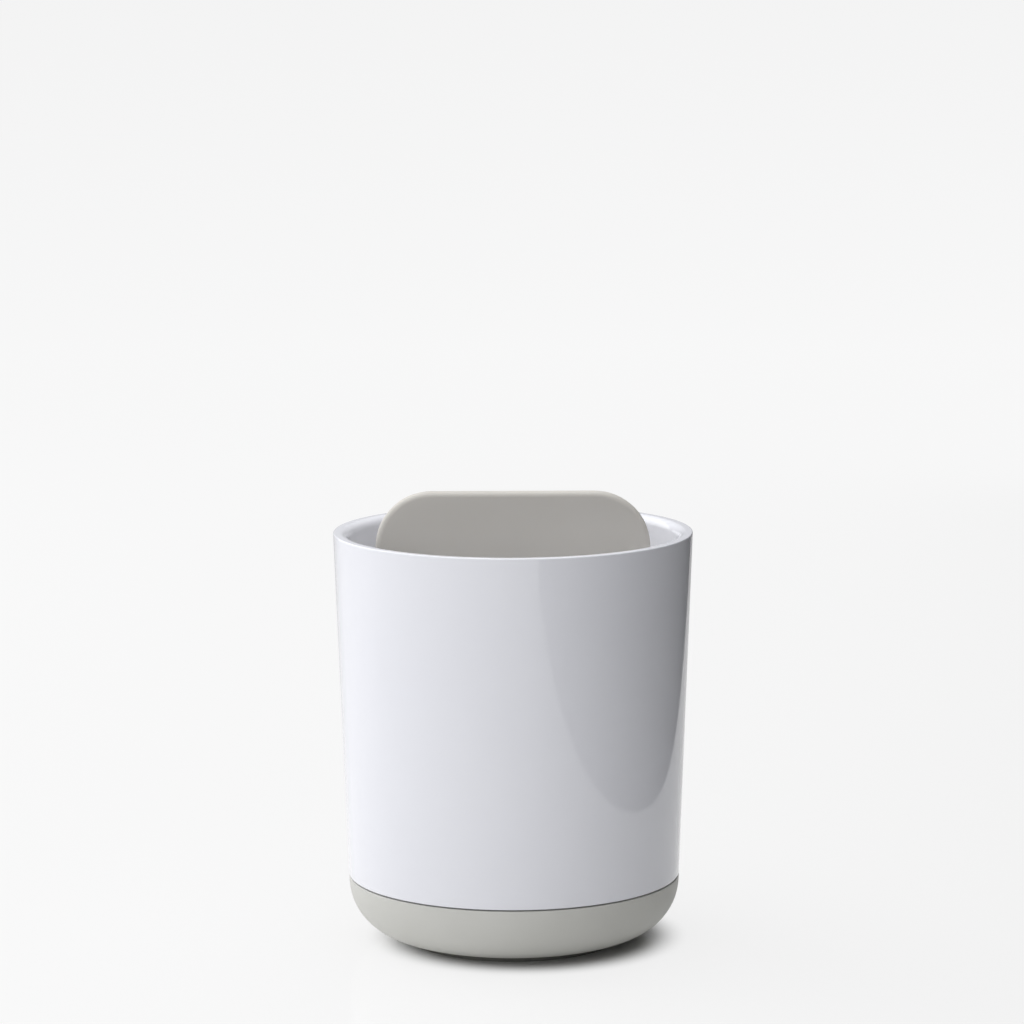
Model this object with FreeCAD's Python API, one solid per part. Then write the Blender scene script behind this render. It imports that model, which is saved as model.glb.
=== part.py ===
import FreeCAD, Part
import math
import os

# Toothbrush holder: a tapered cup that plugs into a round base, with a divider that lifts out.
# Millimetres. +Z is up, and the origin is on the table, in the middle of the foot.
# The front faces -Y, and the divider stands in the XZ plane.

# Outer form
rim_height = 117.6          # table to the top of the cup's lip
rim_radius = 51.0           # outside of the cup at the lip
seam_height = 18.7          # table to the middle of the gap between cup and base
seam_radius = 47.3          # outside of the cup and the base at the seam
seam_gap = 0.4              # shadow gap between the cup's shoulder and the base
foot_height = 1.75          # how far the foot ring stands out below the base
base_corner = 15.85         # rounding of the base's lower edge

# Cup
cup_wall = 4.2              # wall of the cup above the joggle
lip_outer_round = 0.4
lip_inner_round = 2.5       # soft inner edge, which leaves a narrow flat on the lip
shoulder_round = 0.3        # lower outer edge of the cup, just above the seam
joggle_start = 1.5          # shoulder to where the inside begins to widen
joggle_height = 5.0         # height over which the inside widens to the cup's wall
joggle_round = 4.0
spigot_length = 6.0         # what the cup plugs into the base
spigot_wall = 2.2
spigot_round = 0.6          # lead-in at the spigot's lower edge

# Base
base_wall = 2.0             # thinnest wall round the bore, at the ledge
base_rim_round = 0.35       # upper edges of the base
floor_thickness = 3.65
bowl_corner = 7.0           # rounding between the floor and the inner wall
plug_clearance = 0.15       # spigot to bore, on the radius

# Divider and the socket that holds its lower edge
divider_rise = 11.35        # how far the divider stands above the lip
divider_thickness = 3.6
divider_corner = 16.0
divider_edge_round = 1.6
divider_side_gap = 7.6      # divider's edge to the cup's inner wall, which it follows
slot_clearance = 0.2        # divider to each socket wall
socket_wall = 2.0
socket_rise = 0.75          # how far the socket walls stand above the base's upper edge
socket_corner = 5.0
socket_edge_round = 0.7
socket_end_gap = 0.8        # end of a socket wall to the rounding of the floor
key_width = 12.0            # block in the socket that centres the divider
key_height = 5.0
key_clearance = 0.3         # divider's notch to the key, on each side and above
key_round = 1.5

# Seal ring
seal_height = 1.7
seal_thickness = 1.2
seal_round = 0.4
seal_clearance = 0.05       # seal to bore, on the radius
seal_play = 0.1             # seal to groove, above and below

# Foot ring
foot_width = 6.0
foot_depth = 1.2            # how deep the ring is let into the base
foot_land = 0.25            # edge of the base's flat underside to the ring
foot_round = 0.5
foot_clearance = 0.05       # ring to the sides of its groove

# Overlap that makes two shapes of one moulding fuse, or a cut pass a face
overlap = 0.5

# Share of an edge that its two corner roundings may use up
rounding_share = 0.98

origin = FreeCAD.Vector(0, 0, 0)
up = FreeCAD.Vector(0, 0, 1)


# Heights
shoulder_height = seam_height + seam_gap / 2
base_top = seam_height - seam_gap / 2
base_bottom = foot_height
floor_height = base_bottom + floor_thickness
ledge_height = shoulder_height - spigot_length
divider_top = rim_height + divider_rise
seal_middle = (ledge_height + shoulder_height) / 2

# The cup's and the base's sides lie on one straight taper
taper = (rim_radius - seam_radius) / (rim_height - seam_height)


def outside_radius(height):
    """Radius of the common tapered side at a height."""
    return seam_radius + taper * (height - seam_height)


# Lower edge of the base: a tangent arc between the tapered side and the flat underside
corner_radius = min(base_corner, base_top - base_bottom - base_rim_round)
side_angle = math.pi / 2 + math.atan(taper)
flat_radius = outside_radius(base_bottom) - corner_radius / math.tan(side_angle / 2)
corner_height = base_bottom + corner_radius


def base_radius(height):
    """Outer radius of the base at a height between its underside and its top."""
    drop = corner_height - height
    if drop <= corner_radius * math.sin(math.atan(taper)):
        return outside_radius(height)
    return flat_radius + math.sqrt(corner_radius ** 2 - drop ** 2)


# Radii of the plug, from the outside in
bore_radius = base_radius(ledge_height) - base_wall
spigot_radius = bore_radius - plug_clearance
bowl_radius = spigot_radius - spigot_wall
seal_radius = bore_radius - seal_clearance
groove_radius = seal_radius - seal_thickness
groove_reach = seal_height / 2 + seal_play

# Foot ring and its groove
foot_radius = flat_radius - foot_land
foot_bore = foot_radius - foot_width
foot_top = base_bottom + foot_depth

# Divider and socket
slot_half_width = divider_thickness / 2 + slot_clearance
socket_top = base_top + socket_rise
floor_corner = min(bowl_corner, ledge_height - floor_height)
socket_half_length = bowl_radius - floor_corner - socket_end_gap


def divider_reach(height):
    """Half width of the divider at a height, along sides that follow the cup's taper."""
    return outside_radius(height) - cup_wall - divider_side_gap


def corner_points(before, here, after, rounding, before_rounding, after_rounding):
    """Start, middle and end of the tangent arc at a corner, held within its two edges."""
    back = before - here
    ahead = after - here
    room_back = back.Length * rounding / (rounding + before_rounding)
    room_ahead = ahead.Length * rounding / (rounding + after_rounding)
    half_angle = back.getAngle(ahead) / 2
    wanted = rounding / math.tan(half_angle)
    setback = min(wanted, rounding_share * room_back, rounding_share * room_ahead)
    radius = setback * math.tan(half_angle)
    back.normalize()
    ahead.normalize()
    inward = (back + ahead).normalize()
    middle = here + inward * (radius / math.sin(half_angle) - radius)
    return [here + back * setback, middle, here + ahead * setback]


def outline(corners):
    """Closed face in the XZ plane through (x, z, rounding) corners."""
    points = [FreeCAD.Vector(x, 0, z) for x, z, rounding in corners]
    roundings = [rounding for x, z, rounding in corners]
    count = len(corners)
    spans = []
    for index in range(count):
        following = (index + 1) % count
        if roundings[index] > 0:
            spans.append(corner_points(
                points[index - 1], points[index], points[following],
                roundings[index], roundings[index - 1], roundings[following]))
        else:
            spans.append([points[index]])
    edges = []
    for index in range(count):
        span = spans[index]
        if len(span) == 3:
            edges.append(Part.Arc(span[0], span[1], span[2]).toShape())
        edges.append(Part.LineSegment(span[-1], spans[(index + 1) % count][0]).toShape())
    return Part.Face(Part.Wire(edges))


def turned(corners):
    """Solid of revolution about Z from (radius, height, rounding) corners."""
    return outline(corners).revolve(origin, up, 360)


def plate(corners, middle, thickness):
    """Flat plate of an XZ outline, with its thickness centred on y = middle."""
    face = outline(corners)
    face.translate(FreeCAD.Vector(0, middle - thickness / 2, 0))
    return face.extrude(FreeCAD.Vector(0, thickness, 0))


def soften(shape, rounding, lowest):
    """Rounds the edges round a plate's two faces that reach above a height."""
    thickness = shape.BoundBox.YLength
    chosen = [edge for edge in shape.Edges
              if edge.BoundBox.YLength < thickness / 2 and edge.BoundBox.ZMax > lowest]
    return shape.makeFillet(min(rounding, rounding_share * thickness / 2), chosen)


def make_base():
    """Base: bowl with a bore for the cup, a groove for the foot ring and a socket for the divider."""
    bowl = turned([
        (0, floor_height, 0),
        (0, base_bottom, 0),
        (foot_bore - foot_clearance, base_bottom, 0),
        (foot_bore - foot_clearance, foot_top, 0),
        (foot_radius + foot_clearance, foot_top, 0),
        (foot_radius + foot_clearance, base_bottom, 0),
        (outside_radius(base_bottom), base_bottom, corner_radius),
        (outside_radius(base_top), base_top, base_rim_round),
        (bore_radius, base_top, base_rim_round),
        (bore_radius, ledge_height, 0),
        (bowl_radius, ledge_height, 0),
        (bowl_radius, floor_height, floor_corner)])
    root = floor_height - overlap
    walls = []
    for side in (-1, 1):
        wall = plate([
            (-socket_half_length, root, 0),
            (socket_half_length, root, 0),
            (socket_half_length, socket_top, socket_corner),
            (-socket_half_length, socket_top, socket_corner)],
            side * (slot_half_width + socket_wall / 2), socket_wall)
        walls.append(soften(wall, socket_edge_round, floor_height))
    key = plate([
        (-key_width / 2, root, 0),
        (key_width / 2, root, 0),
        (key_width / 2, floor_height + key_height, key_round),
        (-key_width / 2, floor_height + key_height, key_round)],
        0, 2 * slot_half_width + 2 * overlap)
    return bowl.fuse(walls + [key]).removeSplitter()


def make_foot():
    """Foot ring: flat elastomer ring, its upper part in the base's groove."""
    return turned([
        (foot_bore, 0, foot_round),
        (foot_radius, 0, foot_round),
        (foot_radius, foot_top, 0),
        (foot_bore, foot_top, 0)])


def make_cup():
    """Cup: tapered tube with a rounded lip, narrowed at the bottom to a grooved spigot."""
    joggle_low = shoulder_height + joggle_start
    joggle_high = joggle_low + joggle_height
    return turned([
        (rim_radius, rim_height, lip_outer_round),
        (rim_radius - cup_wall, rim_height, lip_inner_round),
        (outside_radius(joggle_high) - cup_wall, joggle_high, joggle_round),
        (bowl_radius, joggle_low, joggle_round),
        (bowl_radius, ledge_height, 0),
        (spigot_radius, ledge_height, spigot_round),
        (spigot_radius, seal_middle - groove_reach, 0),
        (groove_radius, seal_middle - groove_reach, 0),
        (groove_radius, seal_middle + groove_reach, 0),
        (spigot_radius, seal_middle + groove_reach, 0),
        (spigot_radius, shoulder_height, 0),
        (outside_radius(shoulder_height), shoulder_height, shoulder_round)])


def make_seal():
    """Seal: rubber ring with a rounded outer face, seated in the spigot's groove."""
    return turned([
        (groove_radius, seal_middle - seal_height / 2, 0),
        (seal_radius, seal_middle - seal_height / 2, seal_round),
        (seal_radius, seal_middle + seal_height / 2, seal_round),
        (groove_radius, seal_middle + seal_height / 2, 0)])


def make_divider():
    """Divider: panel with round corners and softened edges, notched over the socket's key."""
    panel = plate([
        (-divider_reach(floor_height), floor_height, divider_corner),
        (divider_reach(floor_height), floor_height, divider_corner),
        (divider_reach(divider_top), divider_top, divider_corner),
        (-divider_reach(divider_top), divider_top, divider_corner)],
        0, divider_thickness)
    panel = soften(panel, divider_edge_round, floor_height - overlap)
    notch_half_width = key_width / 2 + key_clearance
    notch_top = floor_height + key_height + key_clearance
    notch = plate([
        (-notch_half_width, floor_height - overlap, 0),
        (notch_half_width, floor_height - overlap, 0),
        (notch_half_width, notch_top, key_round),
        (-notch_half_width, notch_top, key_round)],
        0, divider_thickness + 2 * overlap)
    return panel.cut(notch)


pieces = {
    "base_dish": make_base(),
    "foot_ring": make_foot(),
    "cup_sleeve": make_cup(),
    "seal_ring": make_seal(),
    "divider_panel": make_divider(),
}

os.makedirs("parts", exist_ok=True)
for name, shape in pieces.items():
    shape.exportStep(os.path.join("parts", name + ".step"))
    box = shape.optimalBoundingBox()
    print(name, "valid" if shape.isValid() else "broken", len(shape.Solids), "solid", round(shape.Volume), "mm3")
    print("  x", round(box.XMin, 2), round(box.XMax, 2), "z", round(box.ZMin, 2), round(box.ZMax, 2))
print("bore radius", round(bore_radius, 2), "bowl radius", round(bowl_radius, 2))
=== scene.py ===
import logging
import math
from abc import ABC, abstractmethod
from dataclasses import dataclass, field
from enum import Enum
from typing import Any, ClassVar, Mapping, Optional, Sequence

import bpy
import numpy as np
import numpy.typing as npt
from mathutils import Matrix, Vector


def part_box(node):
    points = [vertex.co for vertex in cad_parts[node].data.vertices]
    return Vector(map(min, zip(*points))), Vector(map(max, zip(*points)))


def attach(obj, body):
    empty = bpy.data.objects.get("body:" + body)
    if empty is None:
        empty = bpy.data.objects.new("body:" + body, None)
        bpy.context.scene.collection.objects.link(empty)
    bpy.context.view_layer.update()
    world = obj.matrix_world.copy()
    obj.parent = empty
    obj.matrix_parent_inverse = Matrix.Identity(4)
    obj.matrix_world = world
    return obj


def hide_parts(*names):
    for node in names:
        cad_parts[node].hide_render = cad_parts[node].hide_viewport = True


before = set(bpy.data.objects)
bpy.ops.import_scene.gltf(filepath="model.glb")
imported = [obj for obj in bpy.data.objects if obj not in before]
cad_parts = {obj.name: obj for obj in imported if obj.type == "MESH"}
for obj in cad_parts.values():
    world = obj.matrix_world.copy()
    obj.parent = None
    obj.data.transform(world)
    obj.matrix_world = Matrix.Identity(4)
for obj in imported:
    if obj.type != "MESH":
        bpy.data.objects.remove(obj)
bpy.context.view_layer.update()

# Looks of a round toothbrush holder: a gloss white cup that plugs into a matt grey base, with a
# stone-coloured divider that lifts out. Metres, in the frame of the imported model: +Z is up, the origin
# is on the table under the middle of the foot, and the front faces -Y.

log = logging.getLogger("toothbrush_holder")

Floats = npt.NDArray[np.float64]
Indices = npt.NDArray[np.int64]
Colour = tuple[float, float, float, float]
Place = tuple[float, float, float]

MM = 0.001

# Sockets of the mix node go by number, because it has one of each name for every kind of data
MIX_FACTOR = 0
MIX_FLOAT_A = 2
MIX_FLOAT_B = 3
MIX_COLOUR_A = 6
MIX_COLOUR_B = 7
MIX_COLOUR_RESULT = 2


class Body(Enum):
    """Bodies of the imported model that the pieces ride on."""

    BASE = "base"
    CUP = "cup"
    DIVIDER = "divider"


class Node(Enum):
    """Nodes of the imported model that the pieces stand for."""

    BASE_DISH = "base_dish"
    FOOT_RING = "foot_ring"
    CUP_SLEEVE = "cup_sleeve"
    SEAL_RING = "seal_ring"
    DIVIDER_PANEL = "divider_panel"


class Slot(Enum):
    """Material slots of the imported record."""

    CUP = "cup_white"
    BASE = "base_grey"
    DIVIDER = "divider_stone"
    FOOT = "foot_elastomer"
    SEAL = "seal_silicone"


# Meshes


@dataclass(frozen=True)
class Corner:
    """Corner of an outline: its distance across, its height and the radius that rounds it."""

    across: float
    height: float
    rounding: float = 0.0


@dataclass
class Shell:
    """Closed surface as whole arrays: points, four-sided faces and the faces that close its ends."""

    points: Floats
    quads: Indices
    ends: list[list[int]] = field(default_factory=list)


@dataclass(frozen=True)
class Fineness:
    """How closely the surfaces are sampled.

    Attributes:
        arc_steps: Steps along a rounded corner.
        run_steps: Points along a straight edge.
        turn_steps: Steps round the axis.
        guard: How far from an arc the point lies that keeps the shading beside it flat.
        guard_share: Largest share of a short edge that this distance may take.
        sharp_angle: Turn between two faces from which their edge is shaded sharp.
    """

    arc_steps: int = 16
    run_steps: int = 8
    turn_steps: int = 256
    guard: float = 0.15 * MM
    guard_share: float = 0.25
    sharp_angle: float = math.radians(35.0)


FINENESS = Fineness()

# Points closer together than this, in metres, are one point
SAME_POINT = 1e-8

# Share of an edge that its two corner roundings may use up
ROUNDING_SHARE = 0.98


def rounded_outline(corners: Sequence[Corner]) -> Floats:
    """Closed outline through corners, each rounded by the arc that touches its two edges.

    An arc's points turn from the one touching point to the other about the arc's centre: with the
    swing as the angle between the two spokes, a point is the sum of the spokes weighted by the sines
    of what is left and what is done of the swing, over the sine of the swing. An edge between two arcs
    has evenly spaced points, and one more a guard's width from each end that keeps its shading flat.

    Args:
        corners: The corners in order round the outline.

    Returns:
        Points of the outline, one row of (across, height) each, with no point twice.
    """
    places = np.array([(corner.across, corner.height) for corner in corners])
    rounding = np.array([corner.rounding for corner in corners])
    back = np.roll(places, 1, axis=0) - places
    ahead = np.roll(places, -1, axis=0) - places
    back_length = np.linalg.norm(back, axis=1)
    ahead_length = np.linalg.norm(ahead, axis=1)
    back /= back_length[:, None]
    ahead /= ahead_length[:, None]
    half_angle = np.arccos(np.clip((back * ahead).sum(axis=1), -1.0, 1.0)) / 2
    tiny = np.finfo(float).tiny
    room_back = back_length * rounding / (rounding + np.roll(rounding, 1) + tiny)
    room_ahead = ahead_length * rounding / (rounding + np.roll(rounding, -1) + tiny)
    room = ROUNDING_SHARE * np.minimum(room_back, room_ahead)
    setback = np.minimum(rounding / np.tan(half_angle), room)
    radius = setback * np.tan(half_angle)
    inward = back + ahead
    inward /= np.linalg.norm(inward, axis=1)[:, None]
    centre = places + inward * (radius / np.sin(half_angle))[:, None]
    start = places + back * setback[:, None]
    end = places + ahead * setback[:, None]
    swing = (math.pi - 2 * half_angle)[:, None, None]
    share = np.linspace(0.0, 1.0, FINENESS.arc_steps + 1)[None, :, None]
    arcs = (np.sin((1 - share) * swing) * (start - centre)[:, None, :]
            + np.sin(share * swing) * (end - centre)[:, None, :]) / np.sin(swing)
    arcs += centre[:, None, :]
    run = np.roll(start, -1, axis=0) - end
    run_length = np.linalg.norm(run, axis=1)
    guard = np.minimum(FINENESS.guard / np.maximum(run_length, SAME_POINT), FINENESS.guard_share)[:, None]
    along = guard + (1 - 2 * guard) * np.linspace(0.0, 1.0, FINENESS.run_steps)[None, :]
    runs = end[:, None, :] + along[:, :, None] * run[:, None, :]
    line = np.concatenate([arcs, runs], axis=1).reshape(-1, 2)
    apart = np.linalg.norm(line - np.roll(line, 1, axis=0), axis=1) > SAME_POINT
    return line[apart]


def signed_area(line: Floats) -> float:
    """Area inside a closed outline, positive where it runs anticlockwise."""
    following = np.roll(line, -1, axis=0)
    return float((line[:, 0] * following[:, 1] - following[:, 0] * line[:, 1]).sum() / 2)


def turned(corners: Sequence[Corner]) -> Shell:
    """Surface of revolution about Z of an outline of (radius, height) corners.

    A point at a place on the outline and an angle round the axis is the radius times the angle's cosine
    and sine, at the outline's height. The outline runs clockwise, so the faces point outwards. Where it
    meets the axis, a pole and a fan of triangles close it.

    Args:
        corners: The corners of the outline, on the axis or to its right.

    Returns:
        The closed surface.
    """
    line = rounded_outline(corners)
    if signed_area(line) > 0:
        line = line[::-1]
    on_axis = line[:, 0] < SAME_POINT
    poles: list[float] = []
    if on_axis.any():
        last = int(np.flatnonzero(on_axis & ~np.roll(on_axis, -1))[0])
        line = np.roll(line, -last, axis=0)
        on_axis = np.roll(on_axis, -last)
        poles = [float(line[0, 1]), float(line[np.flatnonzero(on_axis)[1], 1])]
        line = line[~on_axis]
    angle = np.linspace(0.0, 2 * math.pi, FINENESS.turn_steps, endpoint=False)
    radius = line[:, 0, None]
    height = np.broadcast_to(line[:, 1, None], (len(line), len(angle)))
    grid = np.stack([radius * np.cos(angle), radius * np.sin(angle), height], axis=2)
    index = np.arange(height.size).reshape(height.shape)
    upper = index[:-1] if poles else index
    lower = index[1:] if poles else np.roll(index, -1, axis=0)
    quads = np.stack([upper, lower, np.roll(lower, -1, axis=1), np.roll(upper, -1, axis=1)], axis=2)
    points = grid.reshape(-1, 3)
    ends: list[list[int]] = []
    if poles:
        points = np.concatenate([points, [(0.0, 0.0, pole) for pole in poles]])
        first, final = index[0], index[-1]
        first_pole = np.full_like(first, index.size)
        final_pole = np.full_like(final, index.size + 1)
        ends += np.stack([first_pole, first, np.roll(first, -1)], axis=1).tolist()
        ends += np.stack([final, final_pole, np.roll(final, -1)], axis=1).tolist()
    return Shell(points, quads.reshape(-1, 4), ends)


def plate(corners: Sequence[Corner], middle: float, thickness: float, edge_round: float) -> Shell:
    """Upright plate of an XZ outline with softened edges.

    A point at a place on the outline and a step round the edge is the outline's point, moved inwards
    along its normal by the edge's inset at that step, at the step's depth. The edge is a quarter circle
    from the front face, a straight stretch and a quarter circle to the rear face.

    Args:
        corners: The corners of the outline, seen from the front.
        middle: Depth of the middle of the plate, along Y.
        thickness: Thickness of the plate.
        edge_round: Radius that softens the edges round both faces.

    Returns:
        The closed surface.
    """
    line = rounded_outline(corners)
    if signed_area(line) > 0:
        line = line[::-1]
    tangent = np.roll(line, -1, axis=0) - np.roll(line, 1, axis=0)
    tangent /= np.linalg.norm(tangent, axis=1)[:, None]
    outward = np.stack([-tangent[:, 1], tangent[:, 0]], axis=1)
    turn = np.linspace(0.0, math.pi / 2, FINENESS.arc_steps // 2 + 1)
    inset = np.concatenate([[edge_round + FINENESS.guard], edge_round * (1 - np.sin(turn))])
    depth = np.concatenate([[0.0], edge_round * (1 - np.cos(turn))]) - thickness / 2
    inset = np.concatenate([inset, inset[::-1]])
    depth = np.concatenate([depth, -depth[::-1]])
    across = line[None, :, :] - inset[:, None, None] * outward[None, :, :]
    grid = np.stack([across[:, :, 0], np.broadcast_to(middle + depth[:, None], across.shape[:2]),
                     across[:, :, 1]], axis=2)
    index = np.arange(grid[:, :, 0].size).reshape(grid.shape[:2])
    near, far = index[:-1], index[1:]
    quads = np.stack([near, np.roll(near, -1, axis=1), np.roll(far, -1, axis=1), far], axis=2)
    return Shell(grid.reshape(-1, 3), quads.reshape(-1, 4),
                 [index[0][::-1].tolist(), index[-1].tolist()])


def mesh_object(name: str, shell: Shell) -> bpy.types.Object:
    """Object of a surface, smooth but for its sharp edges.

    Args:
        name: Name of the object.
        shell: The surface.

    Returns:
        The new object, at the origin and linked to the scene.
    """
    mesh = bpy.data.meshes.new(name)
    mesh.from_pydata(shell.points.tolist(), [], shell.quads.tolist() + shell.ends)
    mesh.update()
    piece = bpy.data.objects.new(name, mesh)
    bpy.context.scene.collection.objects.link(piece)
    smooth(piece)
    return piece


def smooth(piece: bpy.types.Object) -> None:
    """Shades a piece smooth, apart from edges that turn by more than the sharp angle."""
    piece.data.polygons.foreach_set("use_smooth", np.ones(len(piece.data.polygons), dtype=bool))
    piece.data.set_sharp_from_angle(angle=FINENESS.sharp_angle)


def join_solid(piece: bpy.types.Object, addition: Shell) -> None:
    """Unites a piece with another closed surface that stands in it, as one moulding.

    Args:
        piece: The piece, whose mesh becomes the union.
        addition: The surface to add.
    """
    tool = mesh_object(f"{piece.name}.addition", addition)
    union = piece.modifiers.new("union", "BOOLEAN")
    union.operation = "UNION"
    union.solver = "EXACT"
    union.object = tool
    graph = bpy.context.evaluated_depsgraph_get()
    united = bpy.data.meshes.new_from_object(piece.evaluated_get(graph))
    old_mesh = piece.data
    united.name = old_mesh.name
    piece.modifiers.clear()
    piece.data = united
    bpy.data.meshes.remove(old_mesh)
    bpy.data.meshes.remove(tool.data)
    smooth(piece)


# Finishes


def linear(code: str) -> Colour:
    """Opaque linear colour of an sRGB hex value such as #E8E8EA, by the sRGB curve."""
    parts = [int(code[place:place + 2], 16) / 255 for place in (1, 3, 5)]
    red, green, blue = [part / 12.92 if part <= 0.04045 else ((part + 0.055) / 1.055) ** 2.4
                        for part in parts]
    return red, green, blue, 1.0


def add_node(tree: bpy.types.NodeTree, kind: str, settings: Optional[Mapping[str, Any]] = None,
             inputs: Optional[Mapping[Any, Any]] = None) -> bpy.types.Node:
    """Adds a node with its settings, its socket values and its links.

    Args:
        tree: The node tree.
        kind: Blender's name of the node's type.
        settings: Properties of the node.
        inputs: For each input socket, by name or number, a value or the socket to link from.

    Returns:
        The new node.
    """
    node = tree.nodes.new(kind)
    for key, value in (settings or {}).items():
        setattr(node, key, value)
    for key, value in (inputs or {}).items():
        if isinstance(value, bpy.types.NodeSocket):
            tree.links.new(value, node.inputs[key])
        else:
            node.inputs[key].default_value = value
    return node


def per_metre(size_mm: float) -> float:
    """Scale of a noise whose features are as large as a size in millimetres."""
    return 1.0 / (size_mm * MM)


@dataclass(frozen=True)
class Moulded:
    """Injection-moulded surface: two close tones in soft patches, uneven gloss and a fine grain.

    The tones drift over centimetres as the melt flowed, the gloss is uneven where hands and cloths went
    over it, and the grain is what the mould's own surface left.

    Attributes:
        name: The material and how its surface was made.
        slot: The record's slot that the finish stands for.
        tone, tone_deep: The two tones, as sRGB hex values.
        patch_mm, patch_detail: Size and detail of the patches of tone.
        roughness, roughness_spread: Middle roughness, and how far it goes to either side.
        wipe_mm, wipe_detail, wipe_roughness: Size, detail and raggedness of the wipes in the gloss.
        wipe_low, wipe_high: Noise levels between which the roughness goes from its least to its most.
        grain_mm, grain_detail, grain_depth_mm: Size, detail and depth of the grain.
        ior: Index of refraction.
        scatter, scatter_mm, scatter_spread: Share of light that passes in, how far, and that for each colour.
    """

    name: str
    slot: Slot
    tone: str
    tone_deep: str
    patch_mm: float
    roughness: float
    roughness_spread: float
    wipe_mm: float
    grain_mm: float
    grain_depth_mm: float
    ior: float
    scatter: float = 0.0
    scatter_mm: float = 1.0
    scatter_spread: Place = (1.0, 0.9, 0.8)
    patch_detail: float = 2.0
    wipe_detail: float = 3.0
    wipe_roughness: float = 0.6
    wipe_low: float = 0.3
    wipe_high: float = 0.7
    grain_detail: float = 1.0

    def material(self) -> bpy.types.Material:
        """Makes the material with its tone, gloss and grain patterns on Object coordinates."""
        material = bpy.data.materials.new(self.name)
        material.use_nodes = True
        tree = material.node_tree
        shader = tree.nodes["Principled BSDF"]
        place = add_node(tree, "ShaderNodeTexCoord").outputs["Object"]
        patches = add_node(tree, "ShaderNodeTexNoise", inputs={
            "Vector": place, "Scale": per_metre(self.patch_mm), "Detail": self.patch_detail})
        tone = add_node(tree, "ShaderNodeMix", {"data_type": "RGBA"}, {
            MIX_FACTOR: patches.outputs["Fac"],
            MIX_COLOUR_A: linear(self.tone), MIX_COLOUR_B: linear(self.tone_deep)})
        tree.links.new(tone.outputs[MIX_COLOUR_RESULT], shader.inputs["Base Color"])
        wipes = add_node(tree, "ShaderNodeTexNoise", inputs={
            "Vector": place, "Scale": per_metre(self.wipe_mm), "Detail": self.wipe_detail,
            "Roughness": self.wipe_roughness})
        gloss = add_node(tree, "ShaderNodeMapRange", inputs={
            "Value": wipes.outputs["Fac"], "From Min": self.wipe_low, "From Max": self.wipe_high,
            "To Min": self.roughness - self.roughness_spread,
            "To Max": self.roughness + self.roughness_spread})
        tree.links.new(gloss.outputs["Result"], shader.inputs["Roughness"])
        grain = add_node(tree, "ShaderNodeTexNoise", inputs={
            "Vector": place, "Scale": per_metre(self.grain_mm), "Detail": self.grain_detail})
        bump = add_node(tree, "ShaderNodeBump", inputs={
            "Height": grain.outputs["Fac"], "Strength": 1.0, "Distance": self.grain_depth_mm * MM})
        tree.links.new(bump.outputs["Normal"], shader.inputs["Normal"])
        shader.inputs["IOR"].default_value = self.ior
        shader.inputs["Subsurface Weight"].default_value = self.scatter
        shader.inputs["Subsurface Radius"].default_value = self.scatter_spread
        shader.inputs["Subsurface Scale"].default_value = self.scatter_mm * MM
        return material


# ABS from a polished mould: even white, mirror-like at a slant, with a trace of waviness in reflections.
GLOSS_ABS = Moulded(
    name="ABS, polished mould, white", slot=Slot.CUP, tone="#EAEBF0", tone_deep="#E7E8EE", patch_mm=45.0,
    roughness=0.05, roughness_spread=0.012, wipe_mm=14.0, grain_mm=2.4, grain_depth_mm=0.0012, ior=1.53)

# ABS from a spark-eroded mould: dull, soft to the eye, with a grain that breaks up every highlight. The
# real grain is about 0.1 mm; it is drawn at 0.4 mm so that it shows.
SPARKED_ABS = Moulded(
    name="ABS, spark-eroded mould, warm grey", slot=Slot.BASE, tone="#CECEC9", tone_deep="#C9C9C3",
    patch_mm=30.0, roughness=0.52, roughness_spread=0.05, wipe_mm=9.0, grain_mm=0.4,
    grain_depth_mm=0.006, ior=1.53)

# Polypropylene from a fine matt mould: satin, a little translucent, so thin edges look softer.
SATIN_PP = Moulded(
    name="Polypropylene, satin mould, stone", slot=Slot.DIVIDER, tone="#CCC9C3", tone_deep="#C7C4BD",
    patch_mm=26.0, roughness=0.42, roughness_spread=0.05, wipe_mm=8.0, grain_mm=0.5,
    grain_depth_mm=0.004, ior=1.49, scatter=0.2, scatter_mm=1.5)

# Thermoplastic elastomer: dark, dead matt and slightly pebbled, so it shows almost no highlight.
MATT_TPE = Moulded(
    name="Elastomer, matt mould, dark grey", slot=Slot.FOOT, tone="#7C7C77", tone_deep="#72726D",
    patch_mm=6.0, roughness=0.82, roughness_spread=0.06, wipe_mm=4.0, grain_mm=0.35,
    grain_depth_mm=0.012, ior=1.45)

# Silicone: pale, milky and faintly greasy in its sheen, with light passing a little way in.
MILKY_SILICONE = Moulded(
    name="Silicone, milky", slot=Slot.SEAL, tone="#DAD9D5", tone_deep="#D2D1CC", patch_mm=8.0,
    roughness=0.36, roughness_spread=0.06, wipe_mm=5.0, grain_mm=0.5, grain_depth_mm=0.004, ior=1.41,
    scatter=0.5, scatter_mm=1.2)


# Holder


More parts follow.
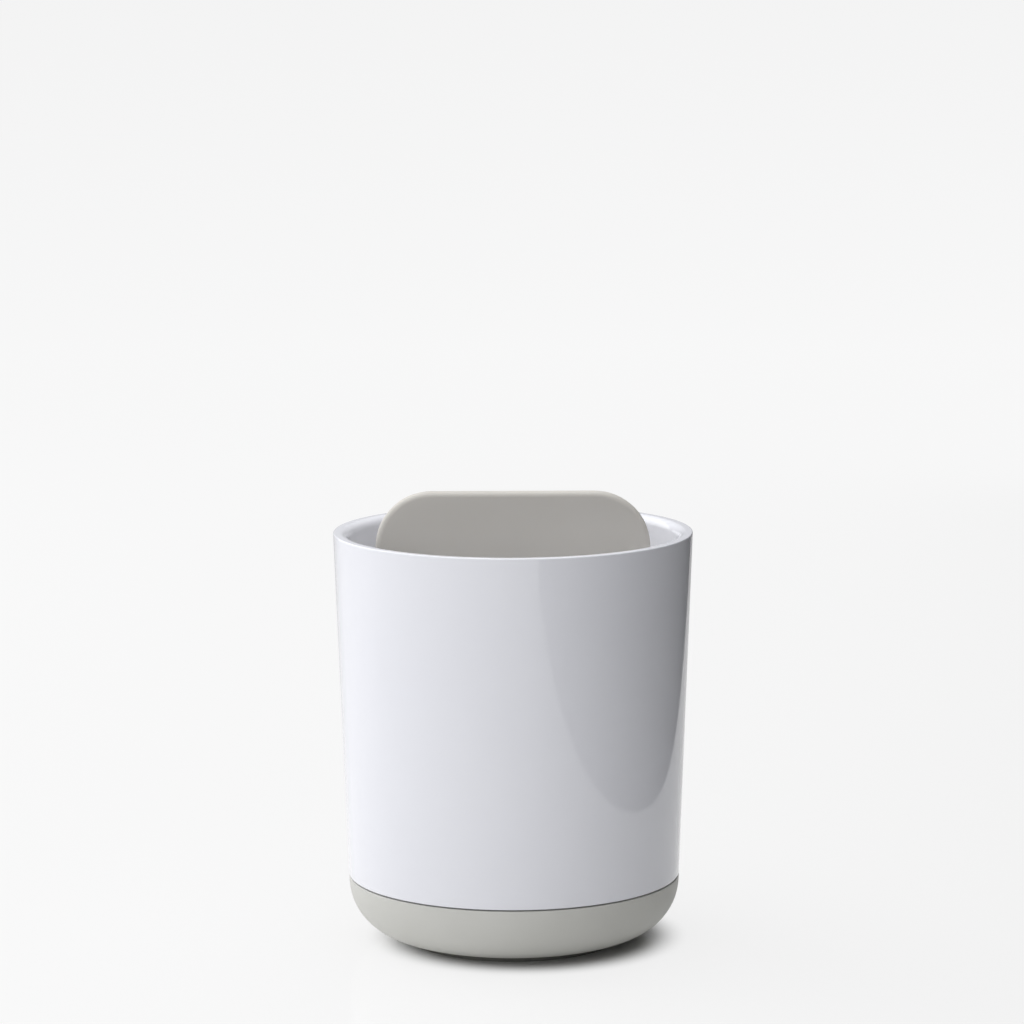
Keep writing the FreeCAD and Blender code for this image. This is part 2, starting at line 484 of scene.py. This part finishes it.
@dataclass(frozen=True)
class Taper:
    """Straight tapered side that the cup and the base share, wider towards the lip, and the cup's wall."""

    wall: float = 4.2 * MM
    seam_height: float = 18.7 * MM
    seam_radius: float = 47.3 * MM
    seam_gap: float = 0.4 * MM
    rim_height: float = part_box(Node.CUP_SLEEVE.value)[1].z
    rim_radius: float = 51.0 * MM

    def radius(self, height: float) -> float:
        """Radius of the side at a height, along a straight line through the seam and the rim."""
        rise = (height - self.seam_height) / (self.rim_height - self.seam_height)
        return self.seam_radius + rise * (self.rim_radius - self.seam_radius)

    def inside(self, height: float) -> float:
        """Radius of the cup's inner wall at a height."""
        return self.radius(height) - self.wall

    @property
    def shoulder(self) -> float:
        """Height of the cup's lower edge, above the shadow gap."""
        return self.seam_height + self.seam_gap / 2

    @property
    def base_top(self) -> float:
        """Height of the base's upper edge, below the shadow gap."""
        return self.seam_height - self.seam_gap / 2


@dataclass(frozen=True)
class Plug:
    """Radii at which the cup, its seal and the base fit into one another."""

    seal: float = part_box(Node.SEAL_RING.value)[1].x
    seal_thickness: float = 1.2 * MM
    seal_clearance: float = 0.05 * MM
    seal_play: float = 0.1 * MM
    spigot_clearance: float = 0.15 * MM
    spigot_wall: float = 2.2 * MM
    ledge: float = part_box(Node.CUP_SLEEVE.value)[0].z

    @property
    def bore(self) -> float:
        """Inner radius of the base, round the spigot and its seal."""
        return self.seal + self.seal_clearance

    @property
    def spigot(self) -> float:
        """Outer radius of the cup's spigot."""
        return self.bore - self.spigot_clearance

    @property
    def bowl(self) -> float:
        """Inner radius of the spigot, and of the base below it."""
        return self.spigot - self.spigot_wall

    @property
    def groove(self) -> float:
        """Inner radius of the seal, at the bottom of its groove."""
        return self.seal - self.seal_thickness


@dataclass(frozen=True)
class Key:
    """Block in the socket that centres the divider, and the room round it in the divider's notch."""

    half_width: float = 6.0 * MM
    height: float = 5.0 * MM
    rounding: float = 1.5 * MM
    clearance: float = 0.3 * MM


@dataclass
class SubAssembly(ABC):
    """One body of the holder: the pieces that move as one, and the sizes that it shares with the others."""

    body: ClassVar[Body]
    taper: Taper
    plug: Plug
    key: Key
    pieces: dict[Node, bpy.types.Object] = field(default_factory=dict, init=False)

    @abstractmethod
    def build(self) -> None:
        """Makes the meshes."""

    @abstractmethod
    def dress(self) -> None:
        """Gives each piece its finish."""

    def place(self, node: Node, shell: Shell) -> bpy.types.Object:
        """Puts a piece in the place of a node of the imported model.

        Args:
            node: The node that the piece stands for.
            shell: The piece's surface.

        Returns:
            The piece.
        """
        piece = mesh_object(f"{node.value}_moulding", shell)
        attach(piece, self.body.value)
        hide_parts(node.value)
        self.pieces[node] = piece
        return piece

    def finish(self, node: Node, look: Moulded) -> None:
        """Dresses a piece in a finish.

        Args:
            node: The node that the piece stands for.
            look: The finish.
        """
        piece = self.pieces[node]
        piece.data.materials.clear()
        piece.data.materials.append(look.material())
        log.info("%s: %d faces, %s", piece.name, len(piece.data.polygons), look.name)


@dataclass
class Base(SubAssembly):
    """Base that the cup plugs into, with the divider's socket on its floor and a foot ring below.

    The walls and the key of the socket reach down into the floor by their root, which is deeper than
    their softened edges, so that the union is one closed surface.
    """

    body: ClassVar[Body] = Body.BASE
    corner_round: float = 15.85 * MM
    rim_round: float = 0.35 * MM
    bowl_round: float = 7.0 * MM
    ledge_round: float = 0.2 * MM
    groove_clearance: float = 0.05 * MM
    foot_width: float = 6.0 * MM
    foot_round: float = 0.5 * MM
    socket_end_gap: float = 0.8 * MM
    socket_wall: float = 2.0 * MM
    slot_clearance: float = 0.2 * MM
    socket_corner: float = 5.0 * MM
    socket_edge_round: float = 0.7 * MM
    key_edge_round: float = 0.3 * MM
    root: float = 1.5 * MM

    def build(self) -> None:
        """Makes the dish with its socket, and the foot ring."""
        low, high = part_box(Node.BASE_DISH.value)
        foot_low, foot_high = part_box(Node.FOOT_RING.value)
        divider_low, divider_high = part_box(Node.DIVIDER_PANEL.value)
        floor = divider_low.z
        root = floor - self.root
        groove_outer = foot_high.x + self.groove_clearance
        foot_bore = foot_high.x - self.foot_width
        groove_inner = foot_bore - self.groove_clearance
        top = self.taper.base_top
        dish = self.place(Node.BASE_DISH, turned([
            Corner(0.0, floor),
            Corner(0.0, low.z),
            Corner(groove_inner, low.z),
            Corner(groove_inner, foot_high.z),
            Corner(groove_outer, foot_high.z),
            Corner(groove_outer, low.z),
            Corner(self.taper.radius(low.z), low.z, self.corner_round),
            Corner(self.taper.radius(top), top, self.rim_round),
            Corner(self.plug.bore, top, self.rim_round),
            Corner(self.plug.bore, self.plug.ledge, self.ledge_round),
            Corner(self.plug.bowl, self.plug.ledge, self.ledge_round),
            Corner(self.plug.bowl, floor, self.bowl_round)]))
        socket_half_length = self.plug.bowl - self.bowl_round - self.socket_end_gap
        socket_middle = divider_high.y + self.slot_clearance + self.socket_wall / 2
        for side in (-1, 1):
            join_solid(dish, plate(
                self.upright(socket_half_length, root, high.z, self.socket_corner),
                side * socket_middle, self.socket_wall, self.socket_edge_round))
        join_solid(dish, plate(
            self.upright(self.key.half_width, root, floor + self.key.height, self.key.rounding),
            0.0, 2 * socket_middle, self.key_edge_round))
        self.place(Node.FOOT_RING, turned([
            Corner(foot_bore, foot_low.z, self.foot_round),
            Corner(foot_high.x, foot_low.z, self.foot_round),
            Corner(foot_high.x, foot_high.z),
            Corner(foot_bore, foot_high.z)]))

    @staticmethod
    def upright(half_width: float, low: float, high: float, rounding: float) -> list[Corner]:
        """Corners of a rectangle that stands on its lower edge, rounded at the top."""
        return [Corner(-half_width, low), Corner(half_width, low),
                Corner(half_width, high, rounding), Corner(-half_width, high, rounding)]

    def dress(self) -> None:
        """Gives the dish its matt grey and the foot its dark elastomer."""
        self.finish(Node.BASE_DISH, SPARKED_ABS)
        self.finish(Node.FOOT_RING, MATT_TPE)


@dataclass
class Cup(SubAssembly):
    """Tapered cup, open at both ends, whose grooved spigot carries the seal ring."""

    body: ClassVar[Body] = Body.CUP
    lip_outer_round: float = 0.4 * MM
    lip_inner_round: float = 2.5 * MM
    shoulder_round: float = 0.3 * MM
    joggle_start: float = 1.5 * MM
    joggle_height: float = 5.0 * MM
    joggle_round: float = 4.0 * MM
    spigot_round: float = 0.6 * MM
    seal_round: float = 0.4 * MM

    def build(self) -> None:
        """Makes the sleeve and the seal ring."""
        seal_low, seal_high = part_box(Node.SEAL_RING.value)
        rim = self.taper.rim_height
        shoulder = self.taper.shoulder
        joggle_low = shoulder + self.joggle_start
        joggle_high = joggle_low + self.joggle_height
        groove_low = seal_low.z - self.plug.seal_play
        groove_high = seal_high.z + self.plug.seal_play
        self.place(Node.CUP_SLEEVE, turned([
            Corner(self.taper.rim_radius, rim, self.lip_outer_round),
            Corner(self.taper.inside(rim), rim, self.lip_inner_round),
            Corner(self.taper.inside(joggle_high), joggle_high, self.joggle_round),
            Corner(self.plug.bowl, joggle_low, self.joggle_round),
            Corner(self.plug.bowl, self.plug.ledge),
            Corner(self.plug.spigot, self.plug.ledge, self.spigot_round),
            Corner(self.plug.spigot, groove_low),
            Corner(self.plug.groove, groove_low),
            Corner(self.plug.groove, groove_high),
            Corner(self.plug.spigot, groove_high),
            Corner(self.plug.spigot, shoulder),
            Corner(self.taper.radius(shoulder), shoulder, self.shoulder_round)]))
        self.place(Node.SEAL_RING, turned([
            Corner(self.plug.groove, seal_low.z),
            Corner(seal_high.x, seal_low.z, self.seal_round),
            Corner(seal_high.x, seal_high.z, self.seal_round),
            Corner(self.plug.groove, seal_high.z)]))

    def dress(self) -> None:
        """Gives the sleeve its gloss white and the seal its milky silicone."""
        self.finish(Node.CUP_SLEEVE, GLOSS_ABS)
        self.finish(Node.SEAL_RING, MILKY_SILICONE)


@dataclass
class Divider(SubAssembly):
    """Panel that parts the holder, with large round corners and a notch over the socket's key."""

    body: ClassVar[Body] = Body.DIVIDER
    side_gap: float = 7.6 * MM
    corner_round: float = 16.0 * MM
    edge_round: float = 1.6 * MM
    notch_mouth_round: float = 2.0 * MM

    def reach(self, height: float) -> float:
        """Half width of the panel at a height, at one gap from the cup's tapered inner wall."""
        return self.taper.inside(height) - self.side_gap

    def build(self) -> None:
        """Makes the panel."""
        low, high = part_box(Node.DIVIDER_PANEL.value)
        notch_side = self.key.half_width + self.key.clearance
        notch_top = low.z + self.key.height + self.key.clearance
        self.place(Node.DIVIDER_PANEL, plate([
            Corner(-self.reach(low.z), low.z, self.corner_round),
            Corner(-notch_side, low.z, self.notch_mouth_round),
            Corner(-notch_side, notch_top, self.key.rounding),
            Corner(notch_side, notch_top, self.key.rounding),
            Corner(notch_side, low.z, self.notch_mouth_round),
            Corner(self.reach(low.z), low.z, self.corner_round),
            Corner(self.reach(high.z), high.z, self.corner_round),
            Corner(-self.reach(high.z), high.z, self.corner_round)],
            0.0, high.y - low.y, self.edge_round))

    def dress(self) -> None:
        """Gives the panel its satin stone colour."""
        self.finish(Node.DIVIDER_PANEL, SATIN_PP)


# Studio


@dataclass(frozen=True)
class Softbox:
    """Soft white rectangular lamp: where it hangs, what it faces, its sides and its power in watts."""

    name: str
    place: Place
    aim: Place
    sides: tuple[float, float]
    watts: float

    def build(self) -> None:
        """Hangs the lamp and turns it to what it faces."""
        lamp = bpy.data.lights.new(self.name, "AREA")
        lamp.shape = "RECTANGLE"
        lamp.size, lamp.size_y = self.sides
        lamp.energy = self.watts
        holder = bpy.data.objects.new(self.name, lamp)
        holder.location = self.place
        facing = Vector(self.aim) - Vector(self.place)
        holder.rotation_euler = facing.to_track_quat("-Z", "Y").to_euler()
        bpy.context.scene.collection.objects.link(holder)


@dataclass(frozen=True)
class Camera:
    """Camera at the photograph's viewing angle, level but for a slight roll."""

    sensor_mm: float = 36.0
    lens_mm: float = 139.005
    distance: float = 1120.9 * MM
    pitch: float = math.radians(8.398)
    roll: float = math.radians(-0.192)
    target: Place = (-0.253 * MM, 0.0, 122.912 * MM)
    clip: tuple[float, float] = (0.1, 100.0)

    def build(self) -> None:
        """Sets up the camera behind its target, looking down by its pitch and rolled about its axis."""
        data = bpy.data.cameras.new("photo_camera")
        data.sensor_width = self.sensor_mm
        data.lens = self.lens_mm
        data.clip_start, data.clip_end = self.clip
        ahead = Vector((0.0, math.cos(self.pitch), -math.sin(self.pitch)))
        right = Vector((1.0, 0.0, 0.0))
        above = right.cross(ahead)
        tilted_right = right * math.cos(self.roll) + above * math.sin(self.roll)
        tilted_above = above * math.cos(self.roll) - right * math.sin(self.roll)
        turn = Matrix((tilted_right, tilted_above, -ahead)).transposed().to_4x4()
        camera = bpy.data.objects.new("photo_camera", data)
        camera.matrix_world = Matrix.Translation(Vector(self.target) - ahead * self.distance) @ turn
        bpy.context.scene.collection.objects.link(camera)
        bpy.context.scene.camera = camera


@dataclass(frozen=True)
class Studio:
    """Pale table, a dark card to one side that the gloss reflects, soft lamps and the camera.

    Attributes:
        floor_half_side: Half the side of the table.
        floor_tone, floor_roughness, floor_ior: The table's lacquer.
        shade_middle: Middle of the patch under the holder where the table shows its real shadow.
        white_from, white_to: Distances from there between which the table turns to plain white.
        white_share: Share of plain white past that.
        glow_from, glow_to: Distances between which the white rises.
        glow_near, glow_far: Levels that it rises from and to.
        reflection_shade_from, reflection_shade_to: Depths behind the holder between which reflections see the
        white grow dimmer: painted shade.
        reflection_shade_share: Share of the white that this painted shade leaves there.
        card_foot: Near and far end of the card's lower edge on the table.
        card_height, card_tone, card_roughness: The card's height and its black.
        ambient_tone, ambient_strength: Light from all round.
        backdrop_strength: How bright that is to reflections.
        white_tone: What the camera sees past the table.
        lamps: The soft lamps.
        camera: The camera.
    """

    floor_half_side: float = 40.0
    floor_tone: str = "#F3F3F2"
    floor_roughness: float = 0.05
    floor_ior: float = 1.42
    shade_middle: Place = (0.0035, 0.0, 0.0)
    white_from: float = 0.0335
    white_to: float = 0.047
    white_share: float = 0.85
    glow_from: float = 0.2
    glow_to: float = 1.6
    glow_near: float = 0.94
    glow_far: float = 1.0
    reflection_shade_from: float = 0.1
    reflection_shade_to: float = 0.7
    reflection_shade_share: float = 0.5
    card_foot: tuple[tuple[float, float], ...] = ((0.13, -0.48), (0.31, 0.90))
    card_height: float = 0.30
    card_tone: str = "#0C0C0C"
    card_roughness: float = 0.9
    ambient_tone: str = "#FDFDFF"
    ambient_strength: float = 0.99
    backdrop_strength: float = 0.25
    white_tone: str = "#FFFFFF"
    lamps: tuple[Softbox, ...] = (
        Softbox("left_softbox", (-0.85, 0.55, 0.55), (0.0, 0.0, 0.06), (1.0, 1.0), 3.9),
        Softbox("top_softbox", (-0.10, 0.0, 1.25), (0.0, 0.0, 0.0), (1.5, 1.5), 7.7))
    camera: Camera = Camera()

    def build(self) -> None:
        """Sets up table, card, world, lamps and camera."""
        self.table()
        self.card()
        self.world()
        for lamp in self.lamps:
            lamp.build()
        self.camera.build()
        bpy.context.scene.view_settings.view_transform = "Standard"

    @staticmethod
    def sheet(name: str, corners: Sequence[Place]) -> bpy.types.Object:
        """Flat sheet through four corners."""
        sheet = mesh_object(name, Shell(np.array(corners), np.arange(len(corners))[None, :]))
        return sheet

    def table(self) -> None:
        """Lays the table: a pale lacquered top that turns to plain white away from the holder."""
        side = self.floor_half_side
        floor = self.sheet("studio_table", [(-side, -side, 0.0), (side, -side, 0.0),
                                            (side, side, 0.0), (-side, side, 0.0)])
        material = bpy.data.materials.new("Lacquered table top, white")
        material.use_nodes = True
        tree = material.node_tree
        top = tree.nodes["Principled BSDF"]
        top.inputs["Base Color"].default_value = linear(self.floor_tone)
        top.inputs["Roughness"].default_value = self.floor_roughness
        top.inputs["IOR"].default_value = self.floor_ior
        self.whiten(tree, top)
        floor.data.materials.append(material)

    def whiten(self, tree: bpy.types.NodeTree, top: bpy.types.Node) -> None:
        """Turns the table to plain white away from the holder, to all rays but those of diffuse light.

        Reflections see that white grow dimmer behind the holder: painted shade in the table's glow, seen only
        by glossy rays, as on a table that is lit from the front half of the room. This painted shade,
        reflected, draws the fine dark line along the cup's two edges.

        Args:
            tree: The node tree of the table's material.
            top: The shader of its lacquer.
        """
        place = add_node(tree, "ShaderNodeTexCoord").outputs["Object"]
        path = add_node(tree, "ShaderNodeLightPath")
        away = add_node(tree, "ShaderNodeVectorMath", {"operation": "DISTANCE"}, {
            0: place, 1: self.shade_middle})
        fade = add_node(tree, "ShaderNodeMapRange", {"interpolation_type": "SMOOTHSTEP"}, {
            "Value": away.outputs["Value"], "From Min": self.white_from, "From Max": self.white_to,
            "To Max": self.white_share})
        mirrored = add_node(tree, "ShaderNodeMath", {"operation": "MAXIMUM"}, {
            0: path.outputs["Is Camera Ray"], 1: path.outputs["Is Glossy Ray"]})
        seen = add_node(tree, "ShaderNodeMath", {"operation": "MAXIMUM"}, {
            0: mirrored.outputs["Value"], 1: path.outputs["Is Transmission Ray"]})
        share = add_node(tree, "ShaderNodeMath", {"operation": "MULTIPLY"}, {
            0: fade.outputs["Result"], 1: seen.outputs["Value"]})
        glow = add_node(tree, "ShaderNodeMapRange", inputs={
            "Value": away.outputs["Value"], "From Min": self.glow_from, "From Max": self.glow_to,
            "To Min": self.glow_near, "To Max": self.glow_far})
        sides = add_node(tree, "ShaderNodeSeparateXYZ", inputs={"Vector": place})
        # Painted shade: the table's white grows dimmer behind the holder, for glossy rays only, so
        # reflections show it darker
        behind = add_node(tree, "ShaderNodeMapRange", inputs={
            "Value": sides.outputs["Y"], "From Min": self.reflection_shade_from, "From Max": self.reflection_shade_to,
            "To Min": 1.0, "To Max": self.reflection_shade_share})
        glow_with_painted_shade = add_node(tree, "ShaderNodeMath", {"operation": "MULTIPLY"}, {
            0: glow.outputs["Result"], 1: behind.outputs["Result"]})
        strength = add_node(tree, "ShaderNodeMix", {"data_type": "FLOAT"}, {
            MIX_FACTOR: path.outputs["Is Glossy Ray"],
            MIX_FLOAT_A: glow.outputs["Result"], MIX_FLOAT_B: glow_with_painted_shade.outputs["Value"]})
        white = add_node(tree, "ShaderNodeEmission", inputs={
            "Color": linear(self.white_tone), "Strength": strength.outputs["Result"]})
        mix = add_node(tree, "ShaderNodeMixShader", inputs={
            0: share.outputs["Value"], 1: top.outputs["BSDF"], 2: white.outputs["Emission"]})
        tree.links.new(mix.outputs["Shader"], tree.nodes["Material Output"].inputs["Surface"])

    def card(self) -> None:
        """Stands the dark card on the table, along the edge of the camera's view and out of its sight."""
        near, far = self.card_foot
        card = self.sheet("studio_card", [(*near, 0.0), (*far, 0.0),
                                          (*far, self.card_height), (*near, self.card_height)])
        card.visible_camera = False
        material = bpy.data.materials.new("Card, black")
        material.use_nodes = True
        shader = material.node_tree.nodes["Principled BSDF"]
        shader.inputs["Base Color"].default_value = linear(self.card_tone)
        shader.inputs["Roughness"].default_value = self.card_roughness
        card.data.materials.append(material)

    def world(self) -> None:
        """Gives even light from all round, a dim backdrop to reflections and white past the table."""
        world = bpy.data.worlds.new("studio_world")
        world.use_nodes = True
        tree = world.node_tree
        path = add_node(tree, "ShaderNodeLightPath")
        level = add_node(tree, "ShaderNodeMapRange", inputs={
            "Value": path.outputs["Is Glossy Ray"], "To Min": self.ambient_strength,
            "To Max": self.backdrop_strength})
        dim = tree.nodes["Background"]
        dim.inputs["Color"].default_value = linear(self.ambient_tone)
        tree.links.new(level.outputs["Result"], dim.inputs["Strength"])
        white = add_node(tree, "ShaderNodeBackground", inputs={"Color": linear(self.white_tone)})
        seen = add_node(tree, "ShaderNodeMath", {"operation": "MAXIMUM"}, {
            0: path.outputs["Is Camera Ray"], 1: path.outputs["Is Transmission Ray"]})
        mix = add_node(tree, "ShaderNodeMixShader", inputs={
            0: seen.outputs["Value"], 1: dim.outputs["Background"], 2: white.outputs["Background"]})
        tree.links.new(mix.outputs["Shader"], tree.nodes["World Output"].inputs["Surface"])
        bpy.context.scene.world = world


def main() -> None:
    """Builds and dresses the holder from the table upwards, then sets up the studio."""
    logging.basicConfig(level=logging.INFO, format="%(name)s: %(message)s")
    shared = (Taper(), Plug(), Key())
    for part in (Base(*shared), Cup(*shared), Divider(*shared)):
        part.build()
        part.dress()
    Studio().build()


if __name__ == "__main__":
    main()
